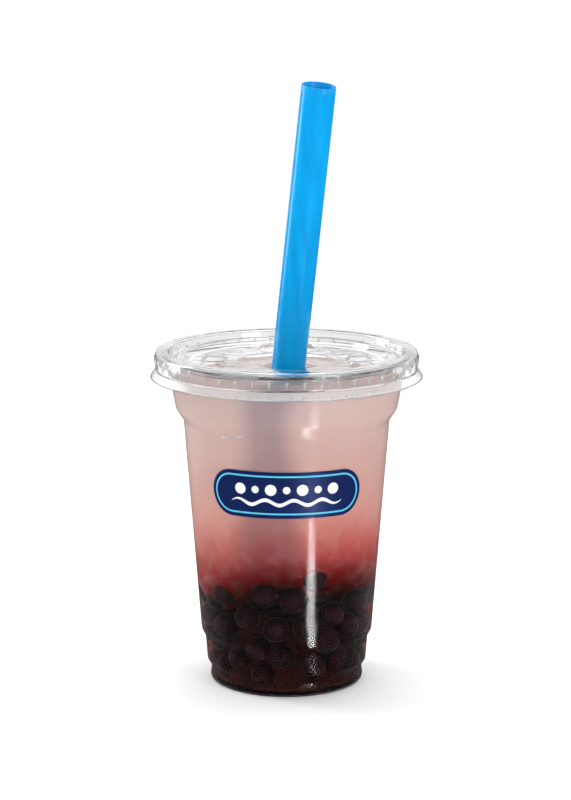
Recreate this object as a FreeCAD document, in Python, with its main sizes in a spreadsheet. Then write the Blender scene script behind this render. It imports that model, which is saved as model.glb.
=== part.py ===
"""Bubble tea in its clear takeaway cup: cup, press-on lid, wide straw, drink and the heap of tapioca pearls.

The row frame has +Z up, with the origin on the table under the middle of the cup. Sizes are millimetres.
"""

import FreeCAD, Part
import Sketcher
import math
import os

# Each named size is written once, here, and every feature below reads it through the sheet.
SIZES = {
    # cup, from the table up: foot, waist, lower band, ledge, barrel, shoulder, collar, curled lip
    "cup_height": 119.3,
    "cup_wall": 0.4,
    "floor_wall": 0.5,
    "punt_radius": 21.5,
    "punt_height": 2.2,
    "punt_draft": 1.0,
    "foot_radius": 27.6,
    "foot_round": 2.0,
    "waist_radius": 26.9,
    "waist_height": 5.0,
    "band_radius": 28.5,
    "band_height": 7.6,
    "ledge_radius": 29.2,
    "ledge_height": 16.1,
    "barrel_radius": 30.6,
    "barrel_height": 18.8,
    "step_round": 1.3,
    "shoulder_radius": 36.6,
    "shoulder_drop": 24.0,
    "collar_radius": 39.3,
    "collar_drop": 19.9,
    "collar_round": 1.6,
    "lip_radius": 45.5,
    "lip_width": 2.4,
    "lip_leg": 3.4,
    "lip_round": 1.1,
    # lid, seated on the lip: flared flange, ribbed band, bead, plug and groove, ridge, panel, hub
    "lid_wall": 0.35,
    "lid_clearance": 0.3,
    "flange_flare": 1.5,
    "flange_height": 2.5,
    "flange_step": 0.35,
    "band_drop": 6.7,
    "bead_round": 1.2,
    "plug_clearance": 0.15,
    "plug_draft": 0.7,
    "groove_drop": 3.7,
    "ridge_outer": 39.2,
    "ridge_draft": 0.5,
    "ridge_drop": 1.8,
    "ridge_inner": 36.4,
    "panel_radius": 34.6,
    "panel_drop": 4.4,
    "hub_top_radius": 18.4,
    "hub_floor_radius": 16.0,
    "hub_drop": 5.6,
    "lid_round": 0.6,
    "rib_count": 48,
    "rib_radius": 0.85,
    "rib_tip": 0.15,
    "rib_length": 3.4,
    "rib_gap": 0.9,
    "button_count": 4,
    "button_middle": 25.6,
    "button_width": 7.2,
    "button_length": 19.0,
    "button_height": 1.5,
    "button_draft": 0.6,
    # straw, pushed through the crossed slit of the hub and down to the cup's floor
    "straw_radius": 6.0,
    "straw_wall": 0.3,
    "straw_length": 213.0,
    "straw_foot_gap": 3.0,
    "straw_foot_bearing": 127.9,
    "floor_gap": 0.1,
    "slot_offset": 0.7,
    "slot_clearance": 0.25,
    "flap_length": 4.2,
    # drink and pearls
    "level_drop": 9.7,
    "pearl_radius": 4.75,
    "pearl_gap": 0.45,
    "heap_height": 35.5,
    "heap_swell": 1.6,
    "heap_slope": 0.03,
}

doc = FreeCAD.newDocument("bubble_tea")
sheet = doc.addObject("Spreadsheet::Sheet", "Sizes")
for row, (alias, size) in enumerate(SIZES.items(), start=1):
    sheet.set(f"A{row}", alias)
    sheet.set(f"B{row}", str(size))
    sheet.setAlias(f"B{row}", alias)
doc.recompute()


def size(terms):
    """The value of a sum of named sizes, such as "lip_radius - lip_width"."""
    total, sign = 0.0, 1.0
    for word in terms.split():
        if word in "+-":
            sign = -1.0 if word == "-" else 1.0
        elif word != "0":
            total += sign * float(getattr(sheet, word))
    return total


def linked(terms):
    """The same sum as an expression that the document keeps."""
    return " ".join(word if word in "+-" else f"Sizes.{word}" for word in terms.split())


def new_body(name):
    return doc.addObject("PartDesign::Body", name)


def origin_plane(body, role):
    return next(f for f in body.Origin.OriginFeatures if f.Role == role)


def half_section(body, corners):
    """A closed sketch on the XZ plane through corners given as (radius, height) sums; "0" is on an axis."""
    sketch = body.newObject("Sketcher::SketchObject", f"{body.Name}_section")
    sketch.AttachmentSupport = [(origin_plane(body, "XZ_Plane"), "")]
    sketch.MapMode = "FlatFace"
    spots = [
        FreeCAD.Vector(size(radius), size(height), 0.0) for radius, height in corners
    ]
    for start, end in zip(spots, spots[1:] + spots[:1]):
        sketch.addGeometry(Part.LineSegment(start, end), False)
    for i in range(len(spots)):
        sketch.addConstraint(Sketcher.Constraint("Coincident", i, 2, (i + 1) % len(spots), 1))
    for i, (corner, spot) in enumerate(zip(corners, spots)):
        for terms, kind, axis, at in (
            (corner[0], "DistanceX", -2, spot.x),
            (corner[1], "DistanceY", -1, spot.y),
        ):
            if terms == "0":
                sketch.addConstraint(Sketcher.Constraint("PointOnObject", i, 1, axis))
                continue
            n = sketch.addConstraint(Sketcher.Constraint(kind, -1, 1, i, 1, at))
            sketch.setExpression(f"Constraints[{n}]", linked(terms))
    return sketch


def revolve(body, corners):
    """The half section turned once about Z."""
    turned = body.newObject("PartDesign::Revolution", f"{body.Name}_turned")
    sketch = half_section(body, corners)
    turned.Profile = sketch
    turned.ReferenceAxis = (sketch, ["V_Axis"])
    turned.Angle = 360.0
    body.Tip = turned
    doc.recompute()
    return turned


def round_rings(body, rings, radius):
    """Fillets the body's circular edges that lie at the given (radius, height) corners."""
    base = body.Tip
    wanted = [(size(r), size(z)) for r, z in rings]
    names = []
    for n, edge in enumerate(base.Shape.Edges, start=1):
        if not isinstance(edge.Curve, Part.Circle):
            continue
        ring = (edge.Curve.Radius, edge.Curve.Center.z)
        if any(math.dist(ring, corner) < 1e-3 for corner in wanted):
            names.append(f"Edge{n}")
    fillet = body.newObject("PartDesign::Fillet", f"{body.Name}_{radius}_{len(body.Group)}")
    fillet.Base = (base, names)
    fillet.setExpression("Radius", f"Sizes.{radius}")
    body.Tip = fillet
    doc.recompute()


def boolean(kind, name, base, tool):
    """Part::Cut, Part::Fuse or Part::Common of two objects, kept as a document feature."""
    made = doc.addObject(f"Part::{kind}", name)
    made.Base = base
    made.Tool = tool
    doc.recompute()
    return made


# ---------------------------------------------------------------- cup

SHOULDER = "cup_height - shoulder_drop"
COLLAR = "cup_height - collar_drop"


def cup_outside():
    """The cup's outer form as a solid, with the curled lip hanging outside the collar."""
    body = new_body("cup_outside")
    neck = "lip_radius - lip_width"
    lip_top = "cup_height - cup_wall"
    revolve(
        body,
        [
            ("0", "punt_height"),
            ("punt_radius - punt_draft", "punt_height"),
            ("punt_radius", "0"),
            ("foot_radius", "0"),
            ("waist_radius", "waist_height"),
            ("band_radius", "band_height"),
            ("ledge_radius", "ledge_height"),
            ("barrel_radius", "barrel_height"),
            ("shoulder_radius", SHOULDER),
            ("collar_radius", COLLAR),
            (neck, lip_top),
            ("lip_radius - cup_wall", lip_top),
            ("lip_radius - cup_wall", "cup_height - lip_leg"),
            ("lip_radius", "cup_height - lip_leg"),
            ("lip_radius", "cup_height"),
            ("0", "cup_height"),
        ],
    )
    round_rings(
        body,
        [("band_radius", "band_height"), ("barrel_radius", "barrel_height")],
        "step_round",
    )
    round_rings(body, [("collar_radius", COLLAR), ("shoulder_radius", SHOULDER)], "collar_round")
    round_rings(body, [("lip_radius", "cup_height")], "lip_round")
    round_rings(body, [("foot_radius", "0")], "foot_round")
    return body


def cup_cavity():
    """The space inside the cup: the outer form less the wall, open past the lip."""
    body = new_body("cup_cavity")
    revolve(
        body,
        [
            ("0", "punt_height + floor_wall"),
            ("punt_radius - punt_draft", "punt_height + floor_wall"),
            ("punt_radius", "floor_wall"),
            ("foot_radius - cup_wall", "floor_wall"),
            ("waist_radius - cup_wall", "waist_height"),
            ("band_radius - cup_wall", "band_height"),
            ("ledge_radius - cup_wall", "ledge_height"),
            ("barrel_radius - cup_wall", "barrel_height"),
            ("shoulder_radius - cup_wall", SHOULDER),
            ("collar_radius - cup_wall", COLLAR),
            ("lip_radius - lip_width - cup_wall", "cup_height"),
            ("0", "cup_height"),
        ],
    )
    round_rings(
        body,
        [
            ("band_radius - cup_wall", "band_height"),
            ("barrel_radius - cup_wall", "barrel_height"),
        ],
        "step_round",
    )
    round_rings(
        body,
        [("collar_radius - cup_wall", COLLAR), ("shoulder_radius - cup_wall", SHOULDER)],
        "collar_round",
    )
    round_rings(body, [("foot_radius - cup_wall", "floor_wall")], "foot_round")
    return body


# ---------------------------------------------------------------- straw

HUB = "cup_height + lid_wall - hub_drop"


def straw_axis():
    """Foot centre, unit direction upwards, and where the axis crosses the hub."""
    crossing = FreeCAD.Vector(size("slot_offset"), 0.0, size(HUB))
    reach = size("waist_radius - cup_wall - straw_radius - straw_foot_gap")
    bearing = math.radians(size("straw_foot_bearing"))
    floor = size("punt_height + floor_wall + floor_gap")
    foot = FreeCAD.Vector(reach * math.cos(bearing), reach * math.sin(bearing), floor)
    tilt = math.atan2(math.hypot(crossing.x - foot.x, crossing.y - foot.y), crossing.z - foot.z)
    foot.z = floor + size("straw_radius") * math.sin(tilt)
    return foot, (crossing - foot).normalize(), crossing


def straw_placement():
    foot, along, _ = straw_axis()
    return FreeCAD.Placement(foot, FreeCAD.Rotation(FreeCAD.Vector(0, 0, 1), along))


def make_straw():
    """A plain tube, square cut at both ends."""
    body = new_body("straw")
    sketch = body.newObject("Sketcher::SketchObject", "straw_ring")
    sketch.AttachmentSupport = [(origin_plane(body, "XY_Plane"), "")]
    sketch.MapMode = "FlatFace"
    for i, terms in enumerate(("straw_radius", "straw_radius - straw_wall")):
        sketch.addGeometry(Part.Circle(FreeCAD.Vector(), FreeCAD.Vector(0, 0, 1), size(terms)), False)
        sketch.addConstraint(Sketcher.Constraint("Coincident", i, 3, -1, 1))
        n = sketch.addConstraint(Sketcher.Constraint("Radius", i, size(terms)))
        sketch.setExpression(f"Constraints[{n}]", linked(terms))
    pad = body.newObject("PartDesign::Pad", "straw_length")
    pad.Profile = sketch
    pad.setExpression("Length", "Sizes.straw_length")
    body.Tip = pad
    body.Placement = straw_placement()
    doc.recompute()
    return body


# ---------------------------------------------------------------- lid

LID_TOP = "cup_height + lid_wall"
BAND = "lip_radius + lid_clearance + lid_wall"
SKIRT = f"{LID_TOP} - band_drop"


def lid_corners(wall):
    """The lid's half section from the flange up and in; wall, when given, moves each corner inwards by it."""
    out, inward = (f" - {wall}", f" + {wall}") if wall else ("", "")
    plug = "lip_radius - lip_width - cup_wall - plug_clearance - lid_wall"
    foot = f"{SKIRT} - flange_height"
    return [
        ("0", foot),
        (f"{BAND} + flange_step + flange_flare{out}", foot),
        (f"{BAND} + flange_step{out}", SKIRT),
        (f"{BAND}{out}", f"{SKIRT} + flange_step"),
        (f"{BAND}{out}", f"{LID_TOP}{out}"),
        (f"{plug}{inward}", f"{LID_TOP}{out}"),
        (f"{plug} - plug_draft{inward}", f"{LID_TOP} - groove_drop{out}"),
        (f"ridge_outer{out}", f"{LID_TOP} - groove_drop{out}"),
        (f"ridge_outer - ridge_draft{out}", f"{LID_TOP} - ridge_drop{out}"),
        (f"ridge_inner{inward}", f"{LID_TOP} - ridge_drop{out}"),
        (f"panel_radius{inward}", f"{LID_TOP} - panel_drop{out}"),
        (f"hub_top_radius{inward}", f"{LID_TOP} - panel_drop{out}"),
        (f"hub_floor_radius{inward}", f"{LID_TOP} - hub_drop{out}"),
        ("0", f"{LID_TOP} - hub_drop{out}"),
    ]


def lid_form(name, wall):
    """One side of the lid as a solid of revolution with its corners eased."""
    body = new_body(name)
    corners = lid_corners(wall)
    revolve(body, corners)
    round_rings(body, [corners[4]], "bead_round")
    # the underside keeps its sharp corner over the cup's mouth, where the lip fits
    round_rings(body, corners[6 if wall else 5 : 13], "lid_round")
    return body


def add_ribs(body):
    """Small pointed ribs round the lid's band, for grip."""
    rib = body.newObject("PartDesign::AdditiveCone", "rib")
    rib.Radius1 = size("rib_tip")
    rib.Radius2 = size("rib_radius")
    rib.Height = size("rib_length")
    rib.setExpression("Radius1", "Sizes.rib_tip")
    rib.setExpression("Radius2", "Sizes.rib_radius")
    rib.setExpression("Height", "Sizes.rib_length")
    rib.AttachmentOffset = FreeCAD.Placement(
        FreeCAD.Vector(size(f"{BAND} - lid_wall"), 0, size(f"{LID_TOP} - bead_round - rib_gap - rib_length")),
        FreeCAD.Rotation(),
    )
    rib.AttachmentSupport = [(origin_plane(body, "XY_Plane"), "")]
    rib.MapMode = "FlatFace"
    body.Tip = rib
    doc.recompute()
    ring = body.newObject("PartDesign::PolarPattern", "rib_ring")
    ring.Originals = [rib]
    ring.Axis = (next(f for f in body.Origin.OriginFeatures if f.Role == "Z_Axis"), [""])
    ring.Angle = 360.0
    ring.setExpression("Occurrences", "Sizes.rib_count")
    body.Tip = ring
    doc.recompute()


def button(inset, turn):
    """A raised oblong pad on the panel, its long side along the rim; inset gives the hollow under it."""
    wide = size("button_width") / 2 - inset
    run = (size("button_length") - size("button_width")) / 2
    mid = size("button_middle")
    top = size(f"{LID_TOP} - panel_drop + button_height") - inset
    root = size(f"{LID_TOP} - panel_drop - lid_wall") - inset
    rings = []
    for z, half in ((root, wide), (top, wide - size("button_draft"))):
        near, far = FreeCAD.Vector(mid - half, 0, z), FreeCAD.Vector(mid + half, 0, z)
        along = FreeCAD.Vector(0, run, 0)
        tip = FreeCAD.Vector(mid, run + half, z)
        heel = FreeCAD.Vector(mid, -run - half, z)
        rings.append(
            Part.Wire(
                [
                    Part.Arc(near - along, heel, far - along).toShape(),
                    Part.LineSegment(far - along, far + along).toShape(),
                    Part.Arc(far + along, tip, near + along).toShape(),
                    Part.LineSegment(near + along, near - along).toShape(),
                ]
            )
        )
    pad = Part.makeLoft(rings, True, True)
    pad.rotate(FreeCAD.Vector(), FreeCAD.Vector(0, 0, 1), turn)
    return pad


def feature(name, shape):
    """A Part::Feature holding a shape that was worked out from the sheet."""
    made = doc.addObject("Part::Feature", name)
    made.Shape = shape
    return made


def buttons(name, inset):
    count = int(size("button_count"))
    pads = [button(inset, 360.0 / count * n) for n in range(count)]
    return feature(name, Part.makeCompound(pads))


def slit_mouth():
    """The square mouth that the crossed slit opens into, its corners on the X and Y axes."""
    half = size("straw_radius + slot_clearance") * math.sqrt(2)
    _, _, crossing = straw_axis()
    ring = [
        FreeCAD.Vector(crossing.x + half * math.cos(a), half * math.sin(a), size(HUB) - 2)
        for a in (0, math.pi / 2, math.pi, 1.5 * math.pi, 0)
    ]
    return feature("slit_mouth", Part.Face(Part.makePolygon(ring)).extrude(FreeCAD.Vector(0, 0, 4)))


def slit_flaps():
    """The hub's four triangular flaps, folded down along the straw from the sides of the mouth."""
    inner = size("straw_radius + slot_clearance")
    _, along, crossing = straw_axis()
    tip = crossing - along * size("flap_length")
    flaps = []
    for n in range(4):
        turn = math.radians(45 + 90 * n)
        out = FreeCAD.Vector(math.cos(turn), math.sin(turn), 0)
        side = FreeCAD.Vector(-math.sin(turn), math.cos(turn), 0)
        ring = [crossing + (out - side) * inner, crossing + (out + side) * inner, tip + out * inner]
        flaps.append(Part.Face(Part.makePolygon(ring + ring[:1])).extrude(out * size("lid_wall")))
    return feature("slit_flaps", Part.makeCompound(flaps))


def make_lid(flaps):
    outside = lid_form("lid_outside", "")
    add_ribs(outside)
    inside = lid_form("lid_inside", "lid_wall")
    raised = boolean("Fuse", "lid_raised", outside, buttons("buttons_outside", 0.0))
    hollow = boolean("Fuse", "lid_hollow", inside, buttons("buttons_inside", size("lid_wall")))
    shell = boolean("Cut", "lid_shell", raised, hollow)
    slotted = boolean("Cut", "lid_slotted", shell, slit_mouth())
    return boolean("Fuse", "lid", slotted, flaps)


# ---------------------------------------------------------------- drink and pearls


def pearl_rings():
    """Centres of the heap's top pearls: even rings out to the wall, lifted in a slow swell."""
    spacing = size("pearl_radius") * 2 + size("pearl_gap")
    outer = size("barrel_radius - cup_wall - pearl_radius")
    rings = int(outer / spacing)
    for n in range(rings + 1):
        reach = outer * n / rings
        count = max(1, int(2 * math.pi * reach / spacing))
        for i in range(count):
            angle = 2 * math.pi * (i + 0.5 * (n % 2)) / count
            x, y = reach * math.cos(angle), reach * math.sin(angle)
            swell = size("heap_swell") * math.sin(2.4 * i + 1.7 * n)
            yield FreeCAD.Vector(x, y, size("heap_height") + swell + size("heap_slope") * (x - y))


def heap_block():
    """Everything below the heap's bumpy top, wider than the cup."""
    bed = size("heap_height - heap_swell") + 1
    base = Part.makeCylinder(size("lip_radius"), bed, FreeCAD.Vector(0, 0, -1))
    pearls = [Part.makeSphere(size("pearl_radius"), centre) for centre in pearl_rings()]
    return feature("heap_block", base.multiFuse(pearls).removeSplitter())


def column(name, radius):
    """A full round bar on the straw's own axis, as long as the straw."""
    bar = doc.addObject("Part::Cylinder", name)
    bar.setExpression("Radius", linked(radius))
    bar.setExpression("Height", "Sizes.straw_length")
    bar.Placement = straw_placement()
    return bar


def make_contents(cavity):
    """The pearls' heap, the drink over it, both cut round the straw, and the drink that stands in the straw."""
    heap = heap_block()
    filled = doc.addObject("Part::Cylinder", "filled")
    filled.setExpression("Radius", "Sizes.lip_radius")
    filled.setExpression("Height", "Sizes.cup_height - Sizes.level_drop")
    full = boolean("Common", "full", cavity, filled)
    bar = column("straw_outside", "straw_radius")
    bore = column("straw_bore", "straw_radius - straw_wall")
    pearls = boolean("Cut", "pearls", boolean("Common", "heap", full, heap), bar)
    drink = boolean("Cut", "drink", boolean("Cut", "above_heap", full, heap), bar)
    return pearls, drink, boolean("Common", "straw_drink", bore, filled)


# ---------------------------------------------------------------- the whole


def check(nodes):
    """Stops on a failed feature or a sub-part that isn't a valid closed solid."""
    for item in doc.Objects:
        if "Invalid" in item.State or "Error" in item.State:
            raise RuntimeError(f"{item.Name} failed: {item.State}")
    for node in nodes:
        shape = node.Shape
        if shape.isNull() or not shape.isValid() or not shape.Solids:
            raise RuntimeError(f"{node.Label} is not a valid solid")


def main():
    cavity = cup_cavity()
    cup = boolean("Cut", "cup", cup_outside(), cavity)
    straw = make_straw()
    flaps = slit_flaps()
    lid = make_lid(flaps)
    pearls, drink, straw_drink = make_contents(cavity)
    nodes = [cup, lid, straw, drink, pearls, straw_drink]
    doc.recompute()
    check(nodes)
    os.makedirs("parts", exist_ok=True)
    for node in nodes:
        node.Shape.exportStep(f"parts/{node.Label}.step")
        print(node.Label, len(node.Shape.Solids), round(node.Shape.Volume, 1))


main()
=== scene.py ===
"""Looks of the bubble tea.

Clear cup and lid, straw, milky drink over dark liquid, tapioca pearls, ice, bubbles and a plain label.
"""

import math
import random

import bmesh
import bpy
from mathutils import Matrix, Vector, noise

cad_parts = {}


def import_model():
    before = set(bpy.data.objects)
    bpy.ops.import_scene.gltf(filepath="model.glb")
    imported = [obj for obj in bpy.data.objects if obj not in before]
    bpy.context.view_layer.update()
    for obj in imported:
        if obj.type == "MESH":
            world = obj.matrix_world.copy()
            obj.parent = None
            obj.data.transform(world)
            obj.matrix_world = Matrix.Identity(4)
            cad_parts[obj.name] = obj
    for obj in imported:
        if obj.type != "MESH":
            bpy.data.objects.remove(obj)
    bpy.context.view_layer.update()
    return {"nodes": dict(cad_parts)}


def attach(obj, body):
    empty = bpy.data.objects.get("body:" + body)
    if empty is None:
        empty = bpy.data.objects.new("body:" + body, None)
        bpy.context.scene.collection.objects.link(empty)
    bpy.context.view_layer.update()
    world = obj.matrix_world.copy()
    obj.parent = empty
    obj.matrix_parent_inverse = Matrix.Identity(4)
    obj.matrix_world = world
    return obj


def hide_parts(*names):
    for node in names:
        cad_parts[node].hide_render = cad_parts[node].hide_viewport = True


MM = 0.001


def srgb(r, g, b):
    """Scene-linear colour of a 0-255 display colour."""
    out = []
    for v in (r, g, b):
        v /= 255.0
        out.append(v / 12.92 if v <= 0.04045 else ((v + 0.055) / 1.055) ** 2.4)
    return (*out, 1.0)


# ---------------------------------------------------------------- sizes, millimetres, as in the CAD source

CUP_H, CUP_WALL = 119.3, 0.4
PUNT_R, PUNT_Z = 21.5, 2.2
WAIST_R, NECK_R, LIP_R = 26.9, 43.1, 45.5
LIP_LEG = 3.4
# the ends of the cup's long straight wall: radius and height
BARREL, SHOULDER = (30.6, 18.8), (36.6, 95.3)

LID_WALL, LID_GAP, PLUG_GAP = 0.35, 0.3, 0.15
LID_TOP = CUP_H + LID_WALL
BAND_R, BAND_Z = LIP_R + LID_GAP + LID_WALL, LID_TOP - 6.7
HUB_Z = LID_TOP - 5.6
RIBS, RIB_Z, RIB_L = 48, LID_TOP - 5.5, 3.4
BUTTONS, BUTTON_MID, BUTTON_W, BUTTON_L, BUTTON_H = 4, 25.6, 7.2, 19.0, 1.5

STRAW_R, STRAW_WALL, STRAW_L = 6.0, 0.3, 213.0
STRAW_GAP, STRAW_BEARING, STRAW_FOOT = 3.0, math.radians(127.9), 2.8
SLOT_X, SLOT_GAP, FLAP_L = 0.7, 0.25, 4.2

LEVEL = CUP_H - 9.7
PEARL_R = 4.75

# corners of the cup's outer line: radius, height and easing
CUP_OUTSIDE = [
    (PUNT_R - 1.0, PUNT_Z, 0.4),
    (PUNT_R, 0.0, 0.4),
    (27.6, 0.0, 2.0),
    (WAIST_R, 5.0, 0.8),
    (28.5, 7.6, 1.3),
    (29.2, 16.1, 0.7),
    (*BARREL, 1.3),
    (*SHOULDER, 1.6),
    (39.3, 99.4, 1.6),
]


def straw_frame():
    """Foot centre and unit direction of the straw, in millimetres."""
    reach = WAIST_R - CUP_WALL - STRAW_R - STRAW_GAP
    cross = Vector((SLOT_X, 0.0, HUB_Z))
    foot = Vector((reach * math.cos(STRAW_BEARING), reach * math.sin(STRAW_BEARING), STRAW_FOOT))
    tilt = math.atan2(math.hypot(cross.x - foot.x, cross.y - foot.y), cross.z - foot.z)
    foot.z += STRAW_R * math.sin(tilt)
    return foot, (cross - foot).normalized()


def off_straw(p):
    """How far a point is from the straw's axis, and how far up the straw."""
    foot, along = straw_frame()
    up = (p - foot).dot(along)
    return (p - foot - along * up).length, up


def from_front(a, r, z):
    """The point at radius r and height z that lies in direction a from the front."""
    return Vector((r * math.sin(a), -r * math.cos(a), z))


def smooth(t):
    t = min(max(t, 0.0), 1.0)
    return t * t * (3 - 2 * t)


# ---------------------------------------------------------------- mesh helpers


def rounded(points, steps=5):
    """A polyline through (r, z, round) corners, each corner eased by an arc of its own radius."""
    out = []
    for i, (r, z, ease) in enumerate(points):
        here = Vector((r, z))
        if i in (0, len(points) - 1) or ease <= 0:
            out.append(here)
            continue
        a = Vector(points[i - 1][:2]) - here
        b = Vector(points[i + 1][:2]) - here
        half = a.angle(b) / 2
        cut = min(ease / math.tan(half), 0.48 * a.length, 0.48 * b.length)
        start, end = here + a.normalized() * cut, here + b.normalized() * cut
        for k in range(steps + 1):
            t = k / steps
            out.append(start * (1 - t) ** 2 + here * 2 * t * (1 - t) + end * t * t)
    return out


def resample(line, step):
    """The polyline with more points, none further apart than step."""
    out = [line[0]]
    for a, b in zip(line, line[1:]):
        n = max(1, math.ceil((b - a).length / step))
        out += [a.lerp(b, k / n) for k in range(1, n + 1)]
    return out


def shifted(line, by):
    """The polyline moved sideways by a distance: to the left of its direction if positive."""
    out = []
    for i, p in enumerate(line):
        d = (line[min(i + 1, len(line) - 1)] - line[max(i - 1, 0)]).normalized()
        out.append(p + Vector((-d.y, d.x)) * by)
    return out


def object_from(name, bm, mesh=None, soft=True):
    """An object of the scene with the bmesh's surface."""
    mesh = mesh or bpy.data.meshes.new(name)
    bm.to_mesh(mesh)
    bm.free()
    if soft:
        mesh.shade_smooth()
    obj = bpy.data.objects.new(name, mesh)
    bpy.context.scene.collection.objects.link(obj)
    return obj


def new_object(name, verts, faces, soft=True):
    """An object from points in millimetres and faces."""
    mesh = bpy.data.meshes.new(name)
    mesh.from_pydata([tuple(c * MM for c in v) for v in verts], [], faces)
    bm = bmesh.new()
    bm.from_mesh(mesh)
    bmesh.ops.remove_doubles(bm, verts=bm.verts, dist=1e-7)
    bmesh.ops.recalc_face_normals(bm, faces=bm.faces)
    return object_from(name, bm, mesh, soft)


def faces_between(rings):
    """The faces between each ring of point numbers and the next, three-sided at a pole."""
    faces = []
    for low, high in zip(rings, rings[1:]):
        for k in range(len(low)):
            n = (k + 1) % len(low)
            face = list(dict.fromkeys([low[k], low[n], high[n], high[k]]))
            if len(face) > 2:
                faces.append(face)
    return faces


def lathe(name, line, segments=192, closed=False):
    """The (r, z) polyline turned about Z: poles on the axis, and its ends joined if closed."""
    verts, rings = [], []
    for p in line:
        if p.x < 1e-6:
            rings.append([len(verts)] * segments)
            verts.append((0, 0, p.y))
            continue
        rings.append(list(range(len(verts), len(verts) + segments)))
        for k in range(segments):
            a = 2 * math.pi * k / segments
            verts.append((p.x * math.cos(a), p.x * math.sin(a), p.y))
    if closed:
        rings.append(rings[0])
    return new_object(name, verts, faces_between(rings))


def joined(name, objs):
    """One object from several."""
    first = {"active_object": objs[0], "object": objs[0]}
    with bpy.context.temp_override(**first, selected_objects=objs, selected_editable_objects=objs):
        bpy.ops.object.join()
    objs[0].name = name
    objs[0].data.name = name
    return objs[0]


# ---------------------------------------------------------------- material helpers


class Nodes:
    """A small wrapper round one material's node tree."""

    def __init__(self, name):
        self.material = bpy.data.materials.new(name)
        self.material.use_nodes = True
        self.tree = self.material.node_tree
        self.shader = self.tree.nodes["Principled BSDF"]
        self.output = self.tree.nodes["Material Output"]

    def set(self, **sockets):
        for name, value in sockets.items():
            self.shader.inputs[name.replace("_", " ")].default_value = value

    def new(self, kind, **settings):
        node = self.tree.nodes.new(kind)
        for name, value in settings.items():
            setattr(node, name, value)
        return node

    def link(self, out, into):
        self.tree.links.new(out, into)

    def value(self, source, socket):
        if isinstance(source, (int, float)):
            socket.default_value = source
        else:
            self.link(source, socket)

    def math(self, operation, a, b=0.0, clamp=False):
        node = self.new("ShaderNodeMath", operation=operation, use_clamp=clamp)
        self.value(a, node.inputs[0])
        self.value(b, node.inputs[1])
        return node.outputs[0]

    def place(self):
        """X, Y and Z of the object's own space, in millimetres."""
        coords = self.new("ShaderNodeTexCoord").outputs["Object"]
        scale = self.new("ShaderNodeVectorMath", operation="SCALE")
        self.link(coords, scale.inputs[0])
        scale.inputs["Scale"].default_value = 1000.0
        split = self.new("ShaderNodeSeparateXYZ")
        self.link(scale.outputs[0], split.inputs[0])
        return scale.outputs[0], split.outputs

    def noise(self, vector, scale, detail=3.0, rough=0.55, stretch=None):
        if stretch:
            mapping = self.new("ShaderNodeMapping")
            mapping.inputs["Scale"].default_value = stretch
            self.link(vector, mapping.inputs["Vector"])
            vector = mapping.outputs[0]
        node = self.new("ShaderNodeTexNoise")
        self.link(vector, node.inputs["Vector"])
        node.inputs["Scale"].default_value = scale
        node.inputs["Detail"].default_value = detail
        node.inputs["Roughness"].default_value = rough
        return node.outputs["Fac"]

    def ramp(self, source, stops, low, high):
        """Colour stops given as (place, colour) over low..high of the source."""
        spread = self.new("ShaderNodeMapRange")
        self.value(source, spread.inputs["Value"])
        spread.inputs["From Min"].default_value = low
        spread.inputs["From Max"].default_value = high
        node = self.new("ShaderNodeValToRGB")
        self.link(spread.outputs[0], node.inputs[0])
        ramp = node.color_ramp
        while len(ramp.elements) > 1:
            ramp.elements.remove(ramp.elements[-1])
        for i, (at, colour) in enumerate(stops):
            at = (at - low) / (high - low)
            element = ramp.elements[0] if i == 0 else ramp.elements.new(at)
            element.position = at
            element.color = colour
        return node.outputs[0]

    def tones(self, source, stops, low=0, high=1):
        """The base colour by stops over the source."""
        self.link(self.ramp(source, stops, low, high), self.shader.inputs["Base Color"])

    def mix(self, factor, a, b, blend="MIX"):
        node = self.new("ShaderNodeMix", data_type="RGBA", blend_type=blend)
        self.value(factor, node.inputs["Factor"])
        for source, socket in ((a, node.inputs[6]), (b, node.inputs[7])):
            if isinstance(source, tuple):
                socket.default_value = source
            else:
                self.link(source, socket)
        return node.outputs[2]

    def bump(self, height, strength, distance):
        node = self.new("ShaderNodeBump")
        node.inputs["Strength"].default_value = strength
        node.inputs["Distance"].default_value = distance * MM
        self.link(height, node.inputs["Height"])
        self.link(node.outputs[0], self.shader.inputs["Normal"])

    def surface(self, shader):
        """Another shader's output in the principled one's place."""
        self.tree.nodes.remove(self.shader)
        self.link(shader, self.output.inputs["Surface"])

    def on(self, obj):
        obj.data.materials.clear()
        obj.data.materials.append(self.material)


# ---------------------------------------------------------------- cup


def cup_lines():
    """The cup's outer line from the punt to the neck, and its inner line."""
    corners = [(0.0, PUNT_Z, 0)] + CUP_OUTSIDE + [(NECK_R, CUP_H - CUP_WALL, 0)]
    outer = resample(rounded(corners), 2.5)
    return outer, shifted(outer, CUP_WALL)


def make_cup():
    outer, inner = cup_lines()
    under, foot = CUP_H - CUP_WALL, CUP_H - LIP_LEG
    lip = [
        (NECK_R, under, 0),
        (44.0, under, 0.4),
        (LIP_R - CUP_WALL, under, 0.8),
        (LIP_R - CUP_WALL, foot, 0.15),
        (LIP_R, foot, 0.15),
        (LIP_R, CUP_H, 1.1),
        (NECK_R - CUP_WALL, CUP_H, 0.3),
        (inner[-1].x, CUP_H - 1.0, 0),
    ]
    # the lip takes the last point's place, and the inner line ends just below it
    outer.pop()
    inner = [p for p in inner if p.y < CUP_H - 1.2]
    cup = lathe("cup_shell", outer + rounded(lip, 4) + inner[::-1], 224)
    m = Nodes("clear_cup")
    m.set(Base_Color=(0.985, 0.987, 0.99, 1), Roughness=0.12, IOR=1.15, Transmission_Weight=1.0)
    vector, _ = m.place()
    m.bump(m.noise(vector, 0.05, 2.0), 0.12, 1.2)
    m.on(cup)
    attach(cup, "root")
    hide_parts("cup")


# ---------------------------------------------------------------- lid


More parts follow.
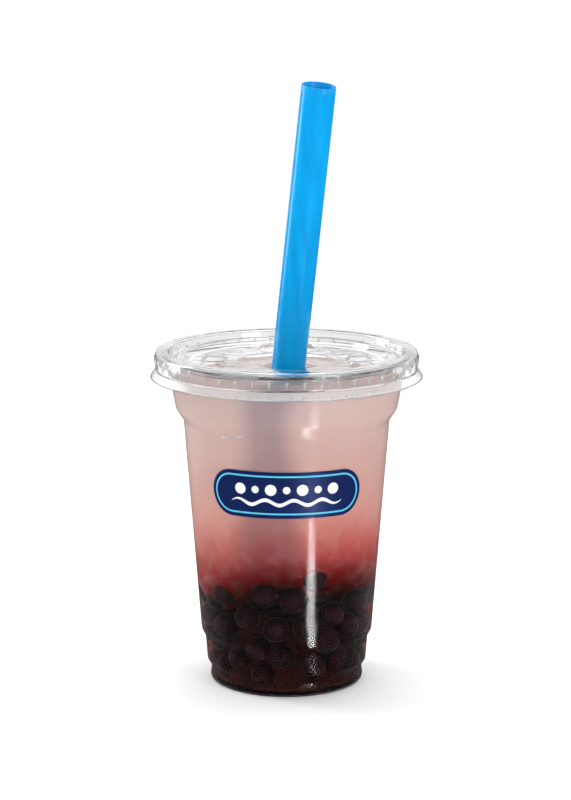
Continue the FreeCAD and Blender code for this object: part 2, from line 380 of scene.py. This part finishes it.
def lid_line():
    """The lid's outer line from the flange's foot over the bead to the hub."""
    plug = NECK_R - CUP_WALL - PLUG_GAP - LID_WALL
    groove, ridge, panel = LID_TOP - 3.7, LID_TOP - 1.8, LID_TOP - 4.4
    corners = [
        (BAND_R + 1.85, BAND_Z - 2.5, 0),
        (BAND_R + 0.35, BAND_Z, 0.3),
        (BAND_R, BAND_Z + 0.35, 0.3),
        (BAND_R, LID_TOP, 1.5),
        (plug, LID_TOP, 0.8),
        (plug - 0.7, groove, 0.7),
        (39.2, groove, 0.7),
        (38.7, ridge, 0.8),
        (36.4, ridge, 0.9),
        (34.6, panel, 1.0),
        (18.4, panel, 0.8),
        (16.0, HUB_Z, 0.8),
        (15.4, HUB_Z, 0),
    ]
    return resample(rounded(corners, 5), 0.75)


def obround(x, y, mid, half_wide, half_long):
    """Signed distance from an oblong whose long side is along Y."""
    return math.hypot(x - mid, max(abs(y) - (half_long - half_wide), 0.0)) - half_wide


def lid_point(r, z, k, segments):
    """A point of the lid's outer surface, with the band's ribs and the panel's buttons."""
    a = 2 * math.pi * k / segments
    if abs(r - BAND_R) < 0.02 and z < LID_TOP - 1.5:
        # small pointed ribs, wide at the top and narrow below
        up = (z - RIB_Z) / RIB_L
        beside = min(k % (segments // RIBS), -k % (segments // RIBS))
        if 0.0 <= up <= 1.0 and beside == 0:
            r += 0.15 + 0.35 * up
        elif 0.0 <= up <= 1.0 and beside == 1:
            r += 0.28 * max(0.0, up - 0.45)
    if 19.0 < r < 34.0:
        for turn in range(BUTTONS):
            b = a - 2 * math.pi / BUTTONS * turn
            d = obround(r * math.cos(b), r * math.sin(b), BUTTON_MID, BUTTON_W / 2, BUTTON_L / 2)
            z += BUTTON_H * smooth((-d + 0.35) / 1.1)
        # shallow molded rays between the buttons
        z += 0.12 * max(0.0, math.cos(a * 12)) * smooth((r - 19.5) / 1.5) * smooth((33.5 - r) / 1.5)
    return Vector((r * math.cos(a), r * math.sin(a), z))


def mouth(a):
    """The square mouth's edge in direction a, its corners on the axes."""
    half = STRAW_R + SLOT_GAP
    reach = half / max(abs(math.cos(a - math.pi / 4)), abs(math.sin(a - math.pi / 4)))
    return Vector((SLOT_X + reach * math.cos(a), reach * math.sin(a), HUB_Z))


def lid_rows(segments, dish=0.35):
    """The lid's outer surface as rings of points, from the flange's foot to the tips of the slit's flaps."""
    rows = [[lid_point(p.x, p.y, k, segments) for k in range(segments)] for p in lid_line()]
    rim = rows[-1]
    edge = [mouth(2 * math.pi * k / segments) for k in range(segments)]
    # the hub, sinking a little toward the mouth
    for step in range(1, 13):
        t = step / 12
        row = [rim[k].lerp(edge[k], t) for k in range(segments)]
        for p in row:
            p.z -= dish * smooth((t - 0.55) / 0.45)
        rows.append(row)
    # four flaps of the crossed slit, folded down along the straw
    _, along = straw_frame()
    for step in range(1, 7):
        row = []
        for k in range(segments):
            side = abs((4 * k / segments) % 1.0 - 0.5) * 2
            drop = FLAP_L * max(0.02, 1.0 - math.tan(side * math.pi / 4)) * step / 6
            p = edge[k] - along * drop
            p.z -= dish
            row.append(p)
        rows.append(row)
    return rows


def underside(rows):
    """The rings' points one after another, each moved inward by the wall."""
    out = []
    for i, row in enumerate(rows):
        before, after = rows[max(i - 1, 0)], rows[min(i + 1, len(rows) - 1)]
        for k, p in enumerate(row):
            n = (row[(k + 1) % len(row)] - row[k - 1]).cross(after[k] - before[k])
            out.append(p + (n.normalized() if n.length > 1e-9 else Vector((0, 0, -1))) * LID_WALL)
    return out


def make_lid():
    segments = 384
    rows = lid_rows(segments)
    verts = [p for row in rows for p in row] + underside(rows)
    rings = [list(range(i, i + segments)) for i in range(0, len(verts), segments)]
    top, under = rings[: len(rows)], rings[len(rows) :]
    faces = faces_between(top) + faces_between(under)
    faces += faces_between([top[0], under[0]]) + faces_between([top[-1], under[-1]])
    lid = new_object("lid_shell", verts, faces)
    # the flange below the band is a little frosted
    frost = Nodes("frosted_lid")
    frost.set(Base_Color=(0.97, 0.97, 0.97, 1), Roughness=0.12, IOR=1.3, Transmission_Weight=0.78)
    vector, _ = frost.place()
    frost.bump(frost.noise(vector, 0.4, 3.0), 0.3, 0.6)
    m = Nodes("clear_lid")
    m.set(Base_Color=(0.985, 0.985, 0.985, 1), Roughness=0.03, IOR=1.4, Transmission_Weight=1.0)
    vector, _ = m.place()
    m.bump(m.noise(vector, 0.12, 2.0), 0.12, 0.8)
    m.on(lid)
    lid.data.materials.append(frost.material)
    flange = (BAND_Z + 0.4) * MM
    for face in lid.data.polygons:
        if face.center.z < flange and math.hypot(face.center.x, face.center.y) > (BAND_R - 0.8) * MM:
            face.material_index = 1
    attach(lid, "root")
    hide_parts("lid")


def make_ribs():
    """The ribs' near-white faces, a painted highlight standing in for the glints on them, one wedge of three
    levels on each rib.
    """
    verts, faces = [], []
    wedge = ((LID_TOP - 5.3, 0.1, 0.12), (LID_TOP - 3.6, 0.5, 0.5), (LID_TOP - 2.9, 0.55, 0.3))
    for k in range(RIBS):
        a = 2 * math.pi * k / RIBS
        out, side = Vector((math.cos(a), math.sin(a), 0)), Vector((-math.sin(a), math.cos(a), 0))
        n = len(verts)
        for z, half, proud in wedge:
            for by in (-half, 0.0, half):
                p = out * (BAND_R + (proud if by == 0 else 0.0)) + side * by
                verts.append((p.x, p.y, z))
            p = out * (BAND_R - 0.12)
            verts.append((p.x, p.y, z))
        faces += faces_between([list(range(n + i, n + i + 4)) for i in (0, 4, 8)])
        faces += [[n + 3, n + 2, n + 1, n], [n + 8, n + 9, n + 10, n + 11]]
    ribs = new_object("lid_ribs", verts, faces, soft=False)
    # painted highlight: the ribs' faces are coloured near white to stand in for the glints of light on them
    m = Nodes("rib_painted_glint")
    m.set(Roughness=0.15, IOR=1.45, Transmission_Weight=0.35)
    vector, _ = m.place()
    m.tones(m.noise(vector, 0.8, 2.0), [(0.3, srgb(232, 232, 232)), (0.6, srgb(255, 255, 255))])
    m.on(ribs)
    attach(ribs, "root")


# ---------------------------------------------------------------- straw


def make_straw():
    foot, along = straw_frame()
    inner, outer, ease = STRAW_R - STRAW_WALL, STRAW_R, 0.08
    heights = [ease + (STRAW_L - 2 * ease) * i / 60 for i in range(61)]
    line = [Vector((outer, z)) for z in heights]
    line += [Vector((outer - ease, STRAW_L)), Vector((inner + ease, STRAW_L))]
    line += [Vector((inner, z)) for z in heights[::-1]]
    line += [Vector((inner + ease, 0)), Vector((outer - ease, 0))]
    straw = lathe("straw_tube", line, 96, closed=True)
    turn = Vector((0, 0, 1)).rotation_difference(along).to_matrix().to_4x4()
    straw.data.transform(Matrix.Translation(foot * MM) @ turn)
    m = Nodes("blue_straw")
    m.set(Roughness=0.2, IOR=1.5, Specular_IOR_Level=0.16)
    vector, _ = m.place()
    streak = m.noise(vector, 0.35, 3.0, stretch=(1.0, 1.0, 0.03))
    m.tones(streak, [(0.3, srgb(0, 146, 214)), (0.7, srgb(0, 166, 236))])
    m.bump(streak, 0.08, 0.3)
    m.on(straw)
    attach(straw, "root")
    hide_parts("straw")


# ---------------------------------------------------------------- drink

# display colours of the milky part by height
MILK = [
    (33.0, (80, 18, 20)),
    (38.0, (104, 24, 27)),
    (42.0, (134, 32, 34)),
    (45.0, (156, 40, 41)),
    (48.0, (174, 52, 50)),
    (52.0, (190, 76, 72)),
    (56.0, (203, 99, 92)),
    (60.0, (213, 121, 110)),
    (65.0, (222, 145, 133)),
    (71.0, (229, 166, 153)),
    (78.0, (232, 180, 168)),
    (86.0, (234, 189, 178)),
    (95.0, (237, 200, 191)),
    (110.0, (239, 211, 204)),
]
MILK_STOPS = [(at, srgb(*c)) for at, c in MILK]

# the cup's inner line, without its bottom
INNER = [p for p in cup_lines()[1] if p.x > 20]
# how far the milky drink reaches into the wall, so that no gap shows
INTO_WALL = 0.1


def inside_radius(z):
    """The cup's inner radius at a height, in millimetres."""
    for a, b in zip(INNER, INNER[1:]):
        if a.y <= z <= b.y and b.y > a.y:
            return a.x + (b.x - a.x) * (z - a.y) / (b.y - a.y)
    return INNER[-1].x


# the dark layer stands highest in this direction, and ends so many millimetres lower beside it and behind
HIGH_SIDE, LOWER = math.radians(-75), 13.0


def lower(a):
    """How much lower the dark layer ends in direction a than on its high side."""
    return LOWER * min(1.0, 1 - math.cos(a - HIGH_SIDE))


def drink_colour(m):
    """The milky part's colour by height, clouded a little, with painted shade: a greyer, darker column where
    the straw shows through.
    """
    vector, (x, y, z) = m.place()
    cloud = m.noise(vector, 0.045, 4.0, stretch=(1.0, 1.0, 0.6))
    wisp = m.noise(vector, 0.16, 3.0, stretch=(1.0, 1.0, 0.8))
    lift = m.math("MULTIPLY", m.math("SUBTRACT", cloud, 0.5), 14.0)
    mean_radius = 33.0
    toward_x = m.math("MULTIPLY", x, math.cos(HIGH_SIDE) / mean_radius)
    toward = m.math("ADD", toward_x, m.math("MULTIPLY", y, math.sin(HIGH_SIDE) / mean_radius))
    less = m.math("MULTIPLY", m.math("SUBTRACT", 1.0, toward, True), LOWER)
    height = m.math("ADD", m.math("ADD", z, lift), less)
    colour = m.ramp(height, MILK_STOPS, MILK[0][0], MILK[-1][0])
    colour = m.mix(m.math("MULTIPLY", m.math("SUBTRACT", wisp, 0.45, True), 0.5), colour, srgb(240, 220, 214))
    # painted shade: a greyer, bluish, darker column on the front of the drink, standing in for the straw's
    # shade seen through the milk
    middle = m.math("ADD", -6.5, m.math("MULTIPLY", m.math("SUBTRACT", cloud, 0.5), 9.0))
    beside = m.math("ABSOLUTE", m.math("SUBTRACT", x, middle))
    up = m.math("DIVIDE", m.math("SUBTRACT", z, 50.0), 50.0, True)
    wide = m.math("SUBTRACT", 7.0, m.math("MULTIPLY", up, 3.5))
    band = m.math("SUBTRACT", 1.0, m.math("DIVIDE", m.math("SUBTRACT", beside, wide), 8.0, True))
    front = m.math("DIVIDE", m.math("SUBTRACT", -8.0, y), 12.0, True)
    shade = m.math("MULTIPLY", m.math("MULTIPLY", band, front), 0.62)
    return m.mix(shade, colour, m.mix(1.0, colour, (0.42, 0.44, 0.56, 1), "MULTIPLY"))


def make_milky():
    """The milky part: against the wall above, drawing in below so that it fades into the dark."""
    # its rings: heights with the distance in from the wall, or flat radii with their heights
    drawn = [(34.0, 12.0), (36.0, 9.8), (38.0, 7.7), (40.0, 5.9), (42.0, 4.3)]
    drawn += [(44.0, 3.0), (46.0, 1.9), (48.0, 1.0), (49.5, 0.4), (50.5, 0.1)]
    heights = [51.5 + (LEVEL - 0.7 - 51.5) * i / 42 for i in range(43)]
    verts, segments = [], 192
    profile = [("flat", 0.0, 31.0), ("flat", 8.0, 31.0), ("flat", 14.0, 31.6)]
    profile += [("wall", z, by) for z, by in drawn] + [("wall", z, -INTO_WALL) for z in heights]
    profile += [("top", -0.4, LEVEL - 0.15), ("top", 0.3, LEVEL + 0.15), ("top", 1.4, LEVEL)]
    profile += [("flat", r, LEVEL) for r in (24.0, 12.0, 0.0)]
    for kind, first, second in profile:
        for k in range(segments):
            a = 2 * math.pi * k / segments
            if kind == "wall":
                z = first - lower(a) * (1 - smooth((first - 52.0) / 26.0))
                r = inside_radius(z) - second
            elif kind == "top":
                r, z = inside_radius(LEVEL) + INTO_WALL - max(first, 0.0), second
            else:
                r, z = first, second - (lower(a) * first / 14.0 if second < 40 else 0.0)
            verts.append((r * math.cos(a), r * math.sin(a), z))
    rings = [list(range(i, i + segments)) for i in range(0, len(verts), segments)]
    drink = new_object("drink_milky", verts, faces_between(rings))
    m = Nodes("milky_drink")
    m.set(Roughness=0.45, IOR=1.34, Transmission_Weight=0.3, Specular_IOR_Level=0.25)
    m.link(drink_colour(m), m.shader.inputs["Base Color"])
    m.on(drink)
    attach(drink, "root")
    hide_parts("drink")


def make_base():
    """The clear dark liquid that the pearls lie in."""
    _, inner = cup_lines()
    reach = [p for p in shifted(inner, -0.15) if p.y < 45.5]
    thin = [Vector((inside_radius(z) + 0.15 - 0.2 * (z - 46.0) / 6.0, z)) for z in (46.0, 48.0, 50.0, 52.0)]
    top = [Vector((28.5, 48.0)), Vector((20.0, 41.0)), Vector((10.0, 37.0)), Vector((0.0, 36.0))]
    base = lathe("drink_base", reach + thin + top, 192)
    m = Nodes("dark_drink")
    m.set(Base_Color=(1, 1, 1, 1), Roughness=0.0, IOR=1.05, Transmission_Weight=1.0)
    absorb = m.new("ShaderNodeVolumeAbsorption")
    absorb.inputs["Color"].default_value = (0.6, 0.1, 0.09, 1)
    absorb.inputs["Density"].default_value = 215.0
    m.link(absorb.outputs[0], m.output.inputs["Volume"])
    m.on(base)
    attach(base, "root")


def dress_straw_drink(obj):
    """What stands in the straw keeps its shape and darkens downward like the rest."""
    m = Nodes("drink_in_straw")
    m.set(Roughness=0.3, IOR=1.34)
    vector, (_, _, z) = m.place()
    height = m.math("ADD", z, m.math("MULTIPLY", m.math("SUBTRACT", m.noise(vector, 0.08, 3.0), 0.5), 16.0))
    m.tones(height, MILK_STOPS, MILK[0][0], MILK[-1][0])
    m.on(obj)


# ---------------------------------------------------------------- pearls

# pearls that lie against the wall where the front shows them: azimuth from the front in degrees, and height
FRONT_PEARLS = [
    (20.3, 43.5),
    (-16.2, 37.2),
    (4.7, 35.2),
    (-52.7, 35.5),
    (-31.4, 28.3),
    (36.0, 29.0),
    (-8.2, 24.4),
    (53.8, 23.4),
    (-56.6, 22.7),
    (33.1, 19.4),
    (-23.4, 16.8),
    (-6.0, 14.6),
]
# two pearls' centres are no nearer than this share of their radii together
PRESSED = 0.93


def place_pearls(rng):
    """Centres and radii: the front's pearls, then others wherever a try finds room."""
    placed = []

    def clear(p, r):
        away, up = off_straw(p)
        if away < STRAW_R + r * 0.9 and up > -r:
            return False
        return all((p - q).length > (r + s) * PRESSED for q, s in placed)

    for azimuth, z in FRONT_PEARLS:
        r = PEARL_R * rng.uniform(0.95, 1.03)
        reach = inside_radius(z) - r - rng.uniform(0.1, 0.5)
        placed.append((from_front(math.radians(azimuth), reach, z), r))
    for tried in range(4000):
        # most of them against the wall, and the last ones over the top of the heap
        z = rng.uniform(6.0, 31.5)
        r = PEARL_R * rng.uniform(0.9, 1.04)
        reach = inside_radius(z) - r - rng.uniform(0.05, 0.7)
        if tried > 2600:
            z = rng.uniform(29.0, 34.5)
            reach *= math.sqrt(rng.uniform(0.0, 1.0))
        a = rng.uniform(0, 2 * math.pi)
        p = Vector((reach * math.cos(a), reach * math.sin(a), z))
        if clear(p, r):
            placed.append((p, r))
    return placed


def make_pearls():
    rng = random.Random(7)
    parts = []
    for i, (p, r) in enumerate(place_pearls(rng)):
        bm = bmesh.new()
        bmesh.ops.create_icosphere(bm, subdivisions=4, radius=r * MM)
        seed = Vector((i * 7.13, i * 3.71, i * 1.37))
        for v in bm.verts:
            n = v.co.normalized()
            v.co *= 1 + 0.03 * noise.noise(n * 1.1 + seed) + 0.008 * noise.noise(n * 4 + seed)
        squash = Matrix.Diagonal((rng.uniform(0.97, 1.0), rng.uniform(0.97, 1.0), rng.uniform(0.92, 0.98), 1))
        bm.transform(Matrix.Translation(p * MM) @ squash)
        parts.append(object_from(f"pearl_{i}", bm))
    pearls = joined("tapioca_pearls", parts)
    m = Nodes("tapioca")
    m.set(Roughness=0.36, IOR=1.45, Specular_IOR_Level=0.08, Specular_Tint=(0.85, 0.6, 0.8, 1))
    vector, _ = m.place()
    tone = m.noise(vector, 0.25, 3.0)
    m.tones(tone, [(0.35, srgb(20, 7, 10)), (0.7, srgb(48, 20, 28))])
    m.on(pearls)
    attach(pearls, "root")
    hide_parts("pearls")


def make_core():
    """A dark filling behind the pearls, which shows only in the gaps between them."""
    core = [(0, 3.0, 0), (20.3, 3.0, 0.5), (21.8, 1.2, 0.5), (26.0, 1.2, 2)]
    core += [(23.5, 9.0, 3), (24.5, 29.0, 4), (0, 31.0, 0)]
    core = lathe("pearl_core", resample(rounded(core, 6), 2.0), 96)
    m = Nodes("dark_core")
    m.set(Base_Color=srgb(50, 14, 13), Roughness=0.6, Specular_IOR_Level=0.1)
    vector, _ = m.place()
    m.bump(m.noise(vector, 0.3, 3.0), 0.6, 2.0)
    m.on(core)
    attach(core, "root")


# ---------------------------------------------------------------- ice and bubbles

ICE_CUBES = 11


def make_ice():
    rng = random.Random(11)
    parts, placed = [], []
    spots = [(22.0, 93.0, 17.0), (-30.0, 101.0, 14.0)]
    spots += [(rng.uniform(0, 360), rng.uniform(74, 101), rng.uniform(14, 18)) for _ in range(300)]
    for azimuth, z, size in spots:
        a = math.radians(azimuth)
        reach = inside_radius(z) - size * 0.62 - rng.uniform(0.5, 2.0)
        p = from_front(a, reach, z)
        if off_straw(p)[0] < STRAW_R + size * 0.75 or z + size * 0.6 > LEVEL + 1.5:
            continue
        if any((p - q).length < (size + w) * 0.62 for q, w in placed):
            continue
        placed.append((p, size))
        bm = bmesh.new()
        bmesh.ops.create_cube(bm, size=size * MM)
        ease = size * 0.16 * MM
        bmesh.ops.bevel(bm, geom=bm.edges[:], offset=ease, segments=4, profile=0.6, affect="EDGES")
        bmesh.ops.subdivide_edges(bm, edges=bm.edges[:], cuts=1, use_grid_fill=True)
        seed = Vector((len(parts) * 5.1, 2.0, 9.0))
        for v in bm.verts:
            v.co *= 1 + 0.05 * noise.noise(v.co * 120 + seed)
        turn = Matrix.Rotation(a + rng.uniform(-0.15, 0.15), 4, "Z")
        lean = Matrix.Rotation(rng.uniform(-0.25, 0.25), 4, "Y")
        bm.transform(Matrix.Translation(p * MM) @ turn @ lean)
        parts.append(object_from("ice", bm))
        if len(parts) == ICE_CUBES:
            break
    ice = joined("ice_cubes", parts)
    m = Nodes("ice")
    m.set(Roughness=0.2, IOR=1.31, Transmission_Weight=0.45)
    vector, _ = m.place()
    frost = m.noise(vector, 0.22, 4.0)
    m.tones(frost, [(0.35, srgb(226, 206, 206)), (0.65, srgb(250, 240, 240))])
    m.on(ice)
    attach(ice, "root")


def make_bubbles():
    """Small bubbles that cling to the wall where the drink darkens, and a ring of them at its top."""
    rng = random.Random(23)
    bm = bmesh.new()
    clinging, floating = 170, 90
    for i in range(clinging + floating):
        a = rng.uniform(0, 2 * math.pi)
        z = rng.gauss(46.0, 11.0) if i < clinging else LEVEL + rng.uniform(-0.3, 0.3)
        if not 6.0 < z < LEVEL + 0.4:
            continue
        r = rng.uniform(0.12, 0.34) if i < clinging else rng.uniform(0.25, 0.7)
        reach = inside_radius(z) - r * 0.8
        at = Vector((reach * math.cos(a), reach * math.sin(a), z)) * MM
        bmesh.ops.create_icosphere(bm, subdivisions=2, radius=r * MM, matrix=Matrix.Translation(at))
    bubbles = object_from("bubbles", bm)
    m = Nodes("bubble")
    m.set(Roughness=0.1, IOR=1.3, Transmission_Weight=0.5)
    _, (_, _, z) = m.place()
    m.tones(z, [(30.0, srgb(196, 96, 90)), (70.0, srgb(236, 190, 180)), (110.0, srgb(246, 232, 228))], 0, 110)
    m.on(bubbles)
    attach(bubbles, "root")


# ---------------------------------------------------------------- label

LABEL_W, LABEL_H, LABEL_Z = 56.6, 16.6, 75.0
INK = 0.05


def wall_radius(z):
    """The outer radius of the cup's long straight wall at a height."""
    (r0, z0), (r1, z1) = BARREL, SHOULDER
    return r0 + (r1 - r0) / (z1 - z0) * (z - z0)


def on_cup(u, z, proud):
    """A point on the cup's wall: u is the distance round it from the front, in millimetres."""
    return from_front(u / wall_radius(LABEL_Z), wall_radius(z) + proud, z)


def patch(name, outline, proud, holes=()):
    """A thin plate over an outline of (u, v) points, wrapped on the cup's wall."""
    bm = bmesh.new()
    edges = []
    for loop in (outline, *holes):
        verts = [bm.verts.new((u, v, 0)) for u, v in loop]
        edges += [bm.edges.new(pair) for pair in zip(verts, verts[1:] + verts[:1])]
    bmesh.ops.triangle_fill(bm, use_beauty=True, use_dissolve=False, edges=edges)
    # cut in strips a millimetre wide, which the wall can bend
    for cut in range(-34, 35):
        geom = bm.verts[:] + bm.edges[:] + bm.faces[:]
        bmesh.ops.bisect_plane(bm, geom=geom, plane_co=(cut, 0, 0), plane_no=(1, 0, 0))
    solid = bmesh.ops.extrude_face_region(bm, geom=bm.faces[:])
    raised = {v for v in solid["geom"] if isinstance(v, bmesh.types.BMVert)}
    for v in bm.verts:
        p = on_cup(v.co.x, LABEL_Z + v.co.y, proud + (INK if v in raised else 0.0))
        v.co = p * MM
    bmesh.ops.recalc_face_normals(bm, faces=bm.faces)
    return object_from(name, bm, soft=False)


def stadium(half_w, half_h, n=24):
    """An outline with straight top and bottom and round ends."""
    out = []
    run = half_w - half_h
    for k in range(n + 1):
        a = -math.pi / 2 + math.pi * k / n
        out.append((run + half_h * math.cos(a), half_h * math.sin(a)))
    for k in range(n + 1):
        a = math.pi / 2 + math.pi * k / n
        out.append((-run + half_h * math.cos(a), half_h * math.sin(a)))
    return out


def disc(u, v, r, n=28):
    return [(u + r * math.cos(2 * math.pi * k / n), v + r * math.sin(2 * math.pi * k / n)) for k in range(n)]


def wave(half, v, lift, thick, turns, n=60):
    """A ribbon along a wave, with its ends drawn in."""
    top, bottom = [], []
    for k in range(n + 1):
        t = k / n
        u = half * (2 * t - 1)
        w = v + lift * math.sin(2 * math.pi * turns * t)
        h = thick / 2 * min(1.0, 6 * t + 0.15, 6 * (1 - t) + 0.15)
        top.append((u, w + h))
        bottom.append((u, w - h))
    return bottom + top[::-1]


def make_label():
    half_w, half_h = LABEL_W / 2, LABEL_H / 2
    low, high = 0.02, 0.05
    field = patch("label_field", stadium(half_w, half_h), low)
    hole = stadium(half_w - 1.9, half_h - 1.9)
    line = patch("label_line", stadium(half_w - 1.3, half_h - 1.3), high, [hole])
    marks = [patch("label_wave", wave(half=20, v=-2.6, lift=0.9, thick=1.3, turns=4), high)]
    dots, pitch = 7, 5.5
    for k in range(dots):
        dot = disc(pitch * (k - (dots - 1) / 2), 1.9, 2.0 if k % 2 == 0 else 1.3)
        marks.append(patch(f"label_dot_{k}", dot, high))
    motif = joined("label_motif", marks)
    inks = (
        (field, srgb(14, 33, 84), 0.35),
        (line, srgb(92, 196, 226), 0.4),
        (motif, srgb(240, 242, 246), 0.4),
    )
    for obj, colour, rough in inks:
        m = Nodes(obj.name + "_ink")
        m.set(Roughness=rough, Specular_IOR_Level=0.06)
        vector, _ = m.place()
        grain = m.noise(vector, 1.4, 2.0)
        dark = tuple(c * 0.9 for c in colour[:3]) + (1,)
        m.tones(grain, [(0.3, dark), (0.7, colour)])
        m.on(obj)
        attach(obj, "root")


# ---------------------------------------------------------------- stage, light and camera

FLOOR_R = 900.0
# the card on the table: where it lies from the front, how far it reaches, how it widens, and its strength
CARD_TURN, CARD_NEAR, CARD_FAR, CARD_SPREAD, CARD_STRENGTH = math.radians(27.6), 40.0, 420.0, 0.11, 180.0
# its brightness by distance from the cup's axis
CARD_POWER = [(44, 0.08), (59, 0.08), (64, 0.9), (140, 1.0), (156, 0.7), (184, 0.4), (205, 0.06), (300, 0.02)]


def make_floor(segments=96):
    ring = [2 * math.pi * k / segments for k in range(segments)]
    edge = [(FLOOR_R * math.cos(a), FLOOR_R * math.sin(a), 0) for a in ring]
    floor = new_object("floor", edge, [list(range(segments))], soft=False)
    m = Nodes("floor_white")
    diffuse = m.new("ShaderNodeBsdfDiffuse")
    diffuse.inputs["Color"].default_value = (0.93, 0.93, 0.93, 1)
    glow = m.new("ShaderNodeEmission")
    path = m.new("ShaderNodeLightPath")
    strength = m.math("MULTIPLY", path.outputs["Is Camera Ray"], 0.03)
    m.link(strength, glow.inputs["Strength"])
    add = m.new("ShaderNodeAddShader")
    m.link(diffuse.outputs[0], add.inputs[0])
    m.link(glow.outputs[0], add.inputs[1])
    m.surface(add.outputs[0])
    m.on(floor)
    floor.visible_glossy = False


def make_card():
    """A bright card lying on the table, seen only as a reflection down the cup's front."""
    a = CARD_TURN
    d, w = Vector((math.sin(a), -math.cos(a), 0)), Vector((math.cos(a), math.sin(a), 0)) * CARD_SPREAD
    near, far = CARD_NEAR, CARD_FAR
    verts = [(d - w) * near, (d + w) * near, (d + w) * far, (d - w) * far]
    card = new_object("light_card", [(v.x, v.y, 1.0) for v in verts], [(0, 1, 2, 3)], soft=False)
    m = Nodes("card_light")
    glow = m.new("ShaderNodeEmission")
    vector, _ = m.place()
    turned = m.new("ShaderNodeVectorRotate", rotation_type="Z_AXIS")
    turned.inputs["Angle"].default_value = -a
    m.link(vector, turned.inputs["Vector"])
    split = m.new("ShaderNodeSeparateXYZ")
    m.link(turned.outputs[0], split.inputs[0])
    out = m.math("MULTIPLY", split.outputs[1], -1.0)
    off = m.math("DIVIDE", m.math("ABSOLUTE", split.outputs[0]), m.math("MULTIPLY", out, CARD_SPREAD))
    soft = m.math("POWER", m.math("SUBTRACT", 1.0, off, True), 1.5)
    power = m.ramp(out, [(at, (v, v, v, 1)) for at, v in CARD_POWER], 0, CARD_FAR)
    m.link(m.math("MULTIPLY", m.math("MULTIPLY", soft, CARD_STRENGTH), power), glow.inputs["Strength"])
    m.surface(glow.outputs[0])
    m.on(card)
    card.visible_camera = card.visible_diffuse = card.visible_transmission = card.visible_shadow = False


def light_panel(name, place, target, size, strength):
    """A glowing sheet that faces the target: places and size in metres."""
    w, h = size[0] / 2 / MM, size[1] / 2 / MM
    panel = new_object(name, [(-w, -h, 0), (w, -h, 0), (w, h, 0), (-w, h, 0)], [(0, 1, 2, 3)], soft=False)
    facing = (Vector(target) - Vector(place)).to_track_quat("-Z", "Y").to_matrix().to_4x4()
    panel.data.transform(Matrix.Translation(place) @ facing)
    m = Nodes(name + "_glow")
    glow = m.new("ShaderNodeEmission")
    glow.inputs["Strength"].default_value = strength
    m.surface(glow.outputs[0])
    m.on(panel)
    panel.visible_camera = panel.visible_shadow = False


def make_world():
    world = bpy.data.worlds.new("studio")
    bpy.context.scene.world = world
    world.use_nodes = True
    tree = world.node_tree
    tree.nodes.clear()
    new, link = tree.nodes.new, tree.links.new
    out, ground = new("ShaderNodeOutputWorld"), new("ShaderNodeBackground")
    coords, split = new("ShaderNodeTexCoord"), new("ShaderNodeSeparateXYZ")
    link(coords.outputs["Generated"], split.inputs[0])
    spread = new("ShaderNodeMapRange")
    spread.inputs["From Min"].default_value, spread.inputs["From Max"].default_value = -1, 1
    link(split.outputs["Z"], spread.inputs["Value"])
    path = new("ShaderNodeLightPath")

    def bands(stops):
        node = new("ShaderNodeValToRGB")
        ramp = node.color_ramp
        for i, (height, grey) in enumerate(stops):
            element = ramp.elements[i] if i < 2 else ramp.elements.new(1)
            element.position = (height + 1) / 2
            element.color = (grey, grey, grey, 1)
        link(spread.outputs[0], node.inputs[0])
        return node.outputs[0]

    def chosen(ray, off, on):
        node = new("ShaderNodeMix")
        node.data_type = "RGBA"
        link(path.outputs[ray], node.inputs["Factor"])
        for source, socket in ((off, node.inputs[6]), (on, node.inputs[7])):
            if isinstance(source, tuple):
                socket.default_value = source
            else:
                link(source, socket)
        return node.outputs[2]

    # what shines on the object, what is seen through it, and what mirrors in it: each by height alone
    ambient = (0.9, 0.9, 0.9, 1)
    through = bands([(-1, 0.95), (0.3, 0.95), (0.5, 0.7), (1, 0.7)])
    mirror = bands([(-1, 0.0), (-0.02, 0.03), (0.06, 0.9), (0.4, 1.0), (1, 0.8)])
    lit = chosen("Is Glossy Ray", ambient, mirror)
    lit = chosen("Is Transmission Ray", lit, through)
    link(chosen("Is Camera Ray", lit, (1, 1, 1, 1)), ground.inputs["Color"])
    link(ground.outputs[0], out.inputs["Surface"])


def make_camera():
    cam = bpy.data.cameras.new("camera")
    cam.lens = 120.42
    cam.sensor_width = 36.0
    cam.clip_start, cam.clip_end = 0.05, 20.0
    obj = bpy.data.objects.new("camera", cam)
    obj.location = (-0.00039, -0.9317, 0.28717)
    obj.rotation_euler = (math.radians(90 - 11.26), 0, 0)
    bpy.context.scene.collection.objects.link(obj)
    bpy.context.scene.camera = obj


def main():
    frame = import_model()
    bpy.context.scene.view_settings.view_transform = "Standard"
    make_cup()
    make_lid()
    make_ribs()
    make_straw()
    make_milky()
    make_base()
    make_pearls()
    make_core()
    make_ice()
    make_bubbles()
    make_label()
    dress_straw_drink(frame["nodes"]["straw_drink"])
    make_floor()
    make_card()
    make_world()
    light_panel("top_light", (0.1, 0.2, 1.1), (0, 0, 0.1), (0.7, 0.6), 4.5)
    light_panel("right_light", (0.52, -0.68, 0.34), (0, 0, 0.08), (0.3, 0.4), 5.4)
    light_panel("left_light", (-0.7, 0.3, 0.36), (0, 0, 0.12), (0.3, 0.7), 6.8)
    make_camera()


main()
